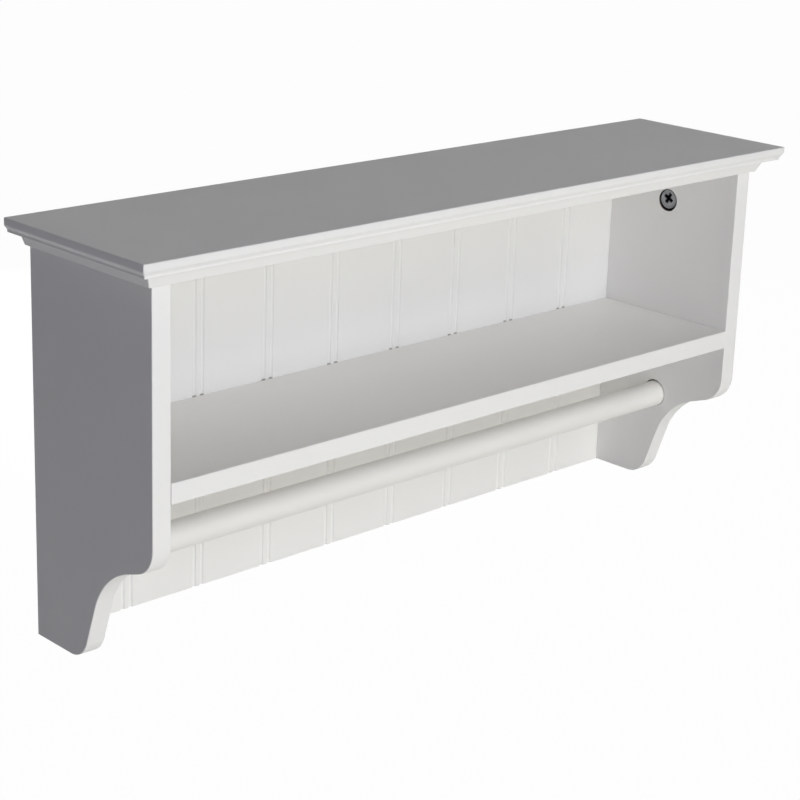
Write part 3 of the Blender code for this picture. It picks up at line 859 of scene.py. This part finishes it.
# %% A countersunk wood screw
screw_low, screw_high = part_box(screws[0])
screw_length = screw_high.y - screw_low.y
screw_root = 0.95 * mm
screw_head = 3.0 * mm
wood_screw = lathe("wood_screw", [
    (0, 0), (screw_head - 0.1 * mm, 0), (screw_head, 0.15 * mm), (screw_radius, 1.75 * mm),
    (screw_radius, 3.6 * mm), (screw_root, 3.9 * mm), (screw_root, screw_length - 1.4 * mm),
    (0, screw_length)])
add_thread(wood_screw, screw_root - 0.1 * mm, screw_radius, pitch=1.3 * mm, near=4.2 * mm,
           far=screw_length - 1.6 * mm)
cut_cross(wood_screw, 0, reach=1.7 * mm, arm_half=0.35 * mm, depth=1.1 * mm, turn=math.radians(17))
shade(wood_screw, angle=30)
print("screw faces:", faces(wood_screw))

# %% A panel pin, and copies of both
pin_length = 12.0 * mm
pin_head = 1.4 * mm
pin = lathe("pin", [
    (0, 0), (pin_head - 0.25 * mm, 0), (pin_head, 0.15 * mm), (pin_head - 0.1 * mm, 0.45 * mm),
    (pin_radius, 0.6 * mm), (pin_radius, pin_length - 1.2 * mm), (0, pin_length)], steps=24)
shade(pin, angle=30)
for model, nodes in ((wood_screw, screws), (pin, back_pins)):
    for node in nodes:
        low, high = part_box(node)
        head_at = Vector(((low.x + high.x) / 2, high.y, (low.z + high.z) / 2))
        matrix = set_axes(head_at, (1, 0, 0), (0, 1, 0))
        steel_pieces.append(copy_to(model, f"plated_{node}", matrix, node))
    bpy.data.objects.remove(model)

# %% [markdown]
# ## Fluted dowels
#
# Twelve beech dowels locate the boards. Their flutes let glue and air out, and their ends are chamfered.
# A circle has every sixth vertex drawn in for a flute and is extruded in steps. Each vertex keeps its
# place in the model as an attribute, so that the grain runs along the dowel whichever way it is turned.

# %% Flute one dowel
near, far, dowel_radius = hole_for("top_dowel_left_rear", 0)
dowel_length = (far - near).length
tip = 0.8 * mm
tip_share = 1 - tip / dowel_radius
flute_share = 0.9
dowel = start_disc("dowel", (0, 0, 0), dowel_radius, vertices=48)
flutes = pick("VERT", lambda corner: corner.index % 6 == 3)
resize((flute_share, flute_share, 1))
pick_all()
resize((tip_share, tip_share, 1))
for rise, widen in ((tip, 1 / tip_share), (dowel_length - 2 * tip, 1), (tip, tip_share)):
    extrude((0, 0, rise))
    resize((widen, widen, 1))
close_up()
print("flutes:", flutes, "dowel faces:", faces(dowel))

# %% Note its grain, and copy it to its joints
shade(dowel, angle=20)
grain_place = dowel.data.attributes.new("grain_place", "FLOAT_VECTOR", "POINT")
for corner in dowel.data.vertices:
    grain_place.data[corner.index].vector = corner.co
dowel_nodes = [f"{where}_dowel_{side}_{row}" for where in ("top", "shelf") for side in sides for row in rows]
dowel_nodes += [f"rail_dowel_{side}_{level}" for side in sides for level in levels]
dowels = []
for node in dowel_nodes:
    near, far, _ = hole_for(node, 0)
    matrix = set_axes(near, (0, 1, 0), (far - near).normalized())
    dowels.append(copy_to(dowel, f"beech_{node}", matrix, node))
bpy.data.objects.remove(dowel)

# %% [markdown]
# ## Colours and nodes
#
# Colours are written as sRGB hex values, the way a paint chart or a screen gives them, and a shader wants
# linear light. One function turns them, and one adds a node with its settings and links.

# %% Helpers for materials
def linear(colour):
    values = [int(colour[i:i + 2], 16) / 255 for i in (0, 2, 4)]
    return [v / 12.92 if v <= 0.04045 else ((v + 0.055) / 1.055) ** 2.4 for v in values] + [1.0]


def wire(finish, node, links):
    """Links sockets into a node's own. A whole node stands for its first output in use."""
    for socket, source in links.items():
        if isinstance(source, bpy.types.Node):
            source = next(output for output in source.outputs if output.enabled)
        finish.node_tree.links.new(source, node.inputs[socket])


def add_node(finish, kind, links=None, values=None, **settings):
    """Adds a node, sets its options and its socket values, and links other nodes into it."""
    made = finish.node_tree.nodes.new("ShaderNode" + kind)
    for key, value in settings.items():
        setattr(made, key, value)
    for socket, value in (values or {}).items():
        made.inputs[socket].default_value = value
    wire(finish, made, links or {})
    return made


def new_finish(name, colour, roughness, metallic=0.0):
    finish = bpy.data.materials.new(name)
    finish.use_nodes = True
    shader = finish.node_tree.nodes["Principled BSDF"]
    shader.inputs["Base Color"].default_value = linear(colour)
    shader.inputs["Roughness"].default_value = roughness
    shader.inputs["Metallic"].default_value = metallic
    finish.diffuse_color = linear(colour)
    return finish, shader, add_node(finish, "TexCoord").outputs["Object"]


# %% [markdown]
# ## White paint on fibreboard
#
# The boards are medium-density fibreboard, sprayed with a satin white lacquer. Sprayed paint dries with a
# faint orange-peel of about a millimetre over longer waves. The eye reads that as a soft, slightly uneven
# sheen. The peel is drawn a little coarser than life, so that it shows at all in a picture this size.

# %% Satin lacquer
def satin_lacquer(name, light, dark, peel, peel_depth, roughness):
    finish, shader, place = new_finish(name, light, roughness)
    waves = add_node(finish, "TexNoise", {"Vector": place}, {"Scale": 1 / (14 * mm), "Detail": 2.0})
    grain = add_node(finish, "TexNoise", {"Vector": place}, {"Scale": 1 / peel, "Detail": 3.0})
    cloud = add_node(finish, "TexNoise", {"Vector": place}, {"Scale": 1 / (110 * mm), "Detail": 4.0})
    tint = add_node(finish, "Mix", {"Factor": cloud},
                    {"A": linear(dark), "B": linear(light)}, data_type="RGBA")
    sheen = add_node(finish, "MapRange", {"Value": waves},
                     {"To Min": roughness - 0.06, "To Max": roughness + 0.06})
    wavy = add_node(finish, "Bump", {"Height": waves}, {"Strength": 0.6, "Distance": 0.05 * mm})
    bumpy = add_node(finish, "Bump", {"Height": grain, "Normal": wavy},
                     {"Strength": 0.7, "Distance": peel_depth})
    wire(finish, shader, {"Base Color": tint, "Roughness": sheen, "Normal": bumpy})
    return finish


board_paint = satin_lacquer("satin_white_lacquer_on_fibreboard", "f0efed", "ebeae7", 1.3 * mm, 0.015 * mm,
                            0.5)
# The back's coat is a little rougher, and the rod's enamel warmer and glossier
back_paint = satin_lacquer("white_paint_on_thin_hardboard", "efeeeb", "e9e8e5", 0.9 * mm, 0.02 * mm, 0.55)
rod_paint = satin_lacquer("satin_white_enamel_on_rod", "e9e7e3", "e5e3de", 1.6 * mm, 0.012 * mm, 0.42)
print("nodes in a paint:", len(board_paint.node_tree.nodes))

# %% [markdown]
# ## Bare board and painted shade in holes and groove corners
#
# The photograph shows a dark line round the cam. So the holes are taken to be drilled after spraying, which
# leaves brown board on their walls, and only the rod's sockets are painted. The brown is drawn far darker
# than raw board, as painted shade deep in the bores. A mask in the shader for each hole would do too, but
# here each face remembers if it is such a wall.
#
# Where a groove meets the shelf there is a small dark dot, the shade in the corner of groove and shelf. The
# grooves are too shallow to cast it, so a grey is laid over the paint inside a groove, within a millimetre
# of
# the shelf: a painted shade.

# %% Mark the walls of the drilled holes
def mark_bare_and_shade(piece):
    """Marks the walls of a piece's drilled holes, and prints how many."""
    bare = piece.data.attributes.new("bare", "FLOAT", "FACE")
    for start_at, end_at, radius in bare_and_shaded_holes[piece.name]:
        way = (end_at - start_at).normalized()
        for mark, face in zip(bare.data, piece.data.polygons):
            from_start = face.center - start_at
            along = from_start.dot(way)
            near_wall = (from_start - way * along).length < radius + 0.05 * mm
            if near_wall and abs(face.normal.dot(way)) < 0.1 and 0 < along < (end_at - start_at).length:
                mark.value = 1.0
    print(piece.name, "bare faces:", sum(mark.value > 0.5 for mark in bare.data))


painted_boards = (top_board, shelf, rail, *(made[0] for made in side_boards.values()))
for piece in (*painted_boards, back):
    mark_bare_and_shade(piece)


# %% Lay dark bare board, partly painted shade, over the paint
def cover(finish, share, colour):
    """Lays another colour over a finish's own, as much as a share says."""
    shader = finish.node_tree.nodes["Principled BSDF"]
    under = shader.inputs["Base Color"].links[0].from_socket
    mixed = add_node(finish, "Mix", {"Factor": share, "A": under}, {"B": linear(colour)}, data_type="RGBA")
    wire(finish, shader, {"Base Color": mixed})


for finish in (board_paint, back_paint):
    # Dark brown, far darker than raw board: partly bare board, partly painted shade in the deep bores
    cover(finish, add_node(finish, "Attribute", attribute_name="bare").outputs["Fac"], "4b423a")


# %% Lay painted shade inside the grooves next to the shelf
def band(finish, value, start_at, full_from, full_to, end_at):
    """A mask that rises to 1 between two values and falls again between two others."""
    rise = add_node(finish, "MapRange", {"Value": value}, {"From Min": start_at, "From Max": full_from})
    fall = add_node(finish, "MapRange", {"Value": value},
                    {"From Min": full_to, "From Max": end_at, "To Min": 1.0, "To Max": 0.0})
    return add_node(finish, "Math", {0: rise, 1: fall}, operation="MULTIPLY")


# How far from the shelf the grey painted shade reaches inside each groove
corner_shade_reach = 0.8 * mm
where = add_node(back_paint, "SeparateXYZ", {"Vector": add_node(back_paint, "TexCoord").outputs["Object"]})
in_groove = band(back_paint, where.outputs["Y"], front_y + 0.15 * mm, front_y + 0.4 * mm,
                 front_y + groove_depth, front_y + groove_depth + 0.1 * mm)
at_shelf = band(back_paint, where.outputs["Z"], shelf_low.z - corner_shade_reach, shelf_low.z,
                shelf_high.z + corner_shade_reach / 2, shelf_high.z + corner_shade_reach)
corner_shade_share = add_node(back_paint, "Math", {0: in_groove, 1: at_shelf}, operation="MULTIPLY")
cover(back_paint, corner_shade_share, "b3afa8")
print("nodes in the back paint:", len(back_paint.node_tree.nodes))

# %% [markdown]
# ## Metals and beech
#
# The cams are die-cast zinc alloy, dull grey and slightly mottled from the mould. Their cross, their sides
# and everything sunk below the face get a near-black colour that follows the attribute marking the sunk
# vertices: a painted shade in the recesses. Bolts, screws, hangers and pins are steel with bright zinc
# plating, smoother and bluer. The dowels are bare beech with short dark flecks along the grain.

# %% Die-cast zinc and zinc-plated steel
def metal(name, light, dark, patch, roughness, spread):
    finish, shader, place = new_finish(name, light, roughness, metallic=1.0)
    mottle = add_node(finish, "TexNoise", {"Vector": place}, {"Scale": 1 / patch, "Detail": 4.0})
    fine = add_node(finish, "TexNoise", {"Vector": place}, {"Scale": 1 / (0.3 * mm), "Detail": 2.0})
    tint = add_node(finish, "Mix", {"Factor": mottle},
                    {"A": linear(dark), "B": linear(light)}, data_type="RGBA")
    sheen = add_node(finish, "MapRange", {"Value": mottle},
                     {"To Min": roughness + spread, "To Max": roughness - spread})
    bumpy = add_node(finish, "Bump", {"Height": fine}, {"Strength": 0.5, "Distance": 0.01 * mm})
    wire(finish, shader, {"Base Color": tint, "Roughness": sheen, "Normal": bumpy})
    return finish


zinc = metal("die_cast_zinc_alloy", "a3a4a7", "898a8e", 1.8 * mm, 0.45, 0.1)
# Near-black painted shade in the cross, the sides and the gap round the disc
cover(zinc, add_node(zinc, "Attribute", attribute_name="sunk_shade").outputs["Fac"], "141416")
plated = metal("zinc_plated_steel", "c2c5c9", "aeb2b7", 3.0 * mm, 0.32, 0.08)


# %% Bare beech
def bare_beech(name, light, dark, fleck):
    finish, shader, _ = new_finish(name, light, 0.68)
    place = add_node(finish, "Attribute", attribute_name="grain_place").outputs["Vector"]
    stretched = add_node(finish, "VectorMath", {0: place}, {1: (1, 1, 0.12)}, operation="MULTIPLY")
    grain = add_node(finish, "TexNoise", {"Vector": stretched}, {"Scale": 1 / (0.7 * mm), "Detail": 4.0})
    rays = add_node(finish, "TexVoronoi", {"Vector": stretched}, {"Scale": 1 / (0.45 * mm)})
    tint = add_node(finish, "Mix", {"Factor": grain},
                    {"A": linear(dark), "B": linear(light)}, data_type="RGBA")
    near_ray = add_node(finish, "MapRange", {"Value": rays},
                        {"From Min": 0.12, "From Max": 0.2, "To Min": 0.55, "To Max": 0.0})
    bumpy = add_node(finish, "Bump", {"Height": grain}, {"Strength": 0.5, "Distance": 0.03 * mm})
    wire(finish, shader, {"Base Color": tint, "Normal": bumpy})
    cover(finish, near_ray, fleck)
    return finish


beech = bare_beech("bare_beech", "d9b88c", "c29a69", "8f6a42")


# %% Paint every piece
def paint(pieces, finish):
    for piece in pieces:
        piece.data.materials.clear()
        piece.data.materials.append(finish)
    print(finish.name, "on", len(pieces))


paint(painted_boards, board_paint)
paint([rod], rod_paint)
paint([back], back_paint)
paint(cams, zinc)
paint(steel_pieces, plated)
paint(dowels, beech)

# %% [markdown]
# ## The camera
#
# The photograph's edges give the camera: where it stands, which way it looks and how long its lens is.
# The picture was cropped a little off-centre, which is a small upward shift of the lens.

# %% Set the camera where the photographer stood
image_size = 800
focal_pixels = 2017.68
principal_row = 340
camera = bpy.data.objects.new("camera", bpy.data.cameras.new("camera"))
scene.collection.objects.link(camera)
right = Vector((0.727849, -0.685008, 0.031608))
down = Vector((-0.173794, -0.228859, -0.95782))
forward = Vector((0.663349, 0.691655, -0.285625))
turned = Matrix((right, -down, -forward)).transposed().to_4x4()
camera.matrix_world = Matrix.Translation(Vector((-827.725, -898.215, 258.256)) * mm) @ turned
camera.data.sensor_width = 36
camera.data.lens = focal_pixels * camera.data.sensor_width / image_size
camera.data.shift_y = (principal_row - image_size / 2) / image_size
camera.data.clip_start = 0.01
camera.data.clip_end = 100
scene.camera = camera
print("lens in mm:", round(camera.data.lens, 1))

# %% [markdown]
# ## Floor, room and lamps
#
# The photograph is a white cut-out: bright front faces, a grey top and a darker left side. So the lamps are
# large and stand in front, two of them cooler, with a warm reflector near the floor, and the room adds a
# little light from all round. Their powers and tints came from a fit: one render for each lamp alone, and
# the sum nearest to the photograph. The rear lamp is for views from behind and lights nothing that shows
# here. Camera and mirror rays see floor and room as white, which adds no light to the shelf.

# %% A pale floor that looks white and keeps the shadow
def looked_at(finish):
    """1 for rays from the camera, a mirror or glass, and 0 for the rest."""
    ray = add_node(finish, "LightPath")
    seen = ray.outputs["Is Camera Ray"]
    for kind in ("Is Glossy Ray", "Is Transmission Ray"):
        seen = add_node(finish, "Math", {0: seen, 1: ray.outputs[kind]}, operation="MAXIMUM")
    return seen


bpy.ops.mesh.primitive_plane_add(size=40, location=(0, 0, -0.75))
floor = bpy.context.object
floor.name = "floor"
floor_paint = bpy.data.materials.new("pale_floor")
floor_paint.use_nodes = True
floor_paint.node_tree.nodes.clear()
lit = add_node(floor_paint, "BsdfDiffuse", None, {"Color": linear("f2f2f2")})
white = add_node(floor_paint, "Emission", None, {"Color": linear("ffffff"), "Strength": 1.0})
share = add_node(floor_paint, "Math", {0: looked_at(floor_paint)}, {1: 0.98}, operation="MULTIPLY")
mixed = add_node(floor_paint, "MixShader", {0: share, 1: lit, 2: white})
add_node(floor_paint, "OutputMaterial", {"Surface": mixed})
floor.data.materials.append(floor_paint)

# %% The room's own light
room_light = 0.06
world = bpy.data.worlds.new("white_room")
scene.world = world
world.use_nodes = True
world.node_tree.nodes.clear()
dim = add_node(world, "Background", None, {"Color": linear("ffffff"), "Strength": room_light})
bright = add_node(world, "Background", None, {"Color": linear("ffffff"), "Strength": 1.0})
mixed = add_node(world, "MixShader", {0: looked_at(world), 1: dim, 2: bright})
add_node(world, "OutputWorld", {"Surface": mixed})


# %% Lamps
def lamp(name, place, size, power, colour):
    """A square area lamp that faces the shelf."""
    made = bpy.data.objects.new(name, bpy.data.lights.new(name, "AREA"))
    scene.collection.objects.link(made)
    made.data.size = size
    made.data.energy = power
    made.data.color = linear(colour)[:3]
    made.location = place
    made.rotation_euler = (shelf_middle - Vector(place)).to_track_quat("-Z", "Y").to_euler()
    made.visible_camera = False
    print(name, power, "W")


shelf_middle = Vector((0, -0.06, -0.115))
lamp("front_softbox", (-0.25, -2.0, 0.1), 1.0, 13.0, "fafff7")
lamp("high_softbox", (0, -2.0, 0.9), 1.0, 11.3, "f3f2ff")
lamp("left_softbox", (-1.2, -2.0, 0.1), 1.0, 5.4, "d0cdff")
lamp("floor_reflector", (0, -0.9, -0.72), 0.9, 3.6, "fff9df")
lamp("rear_softbox", (1.4, 2.3, -0.22), 0.5, 30, "ffffff")

# %% View settings
scene.view_settings.view_transform = "Standard"
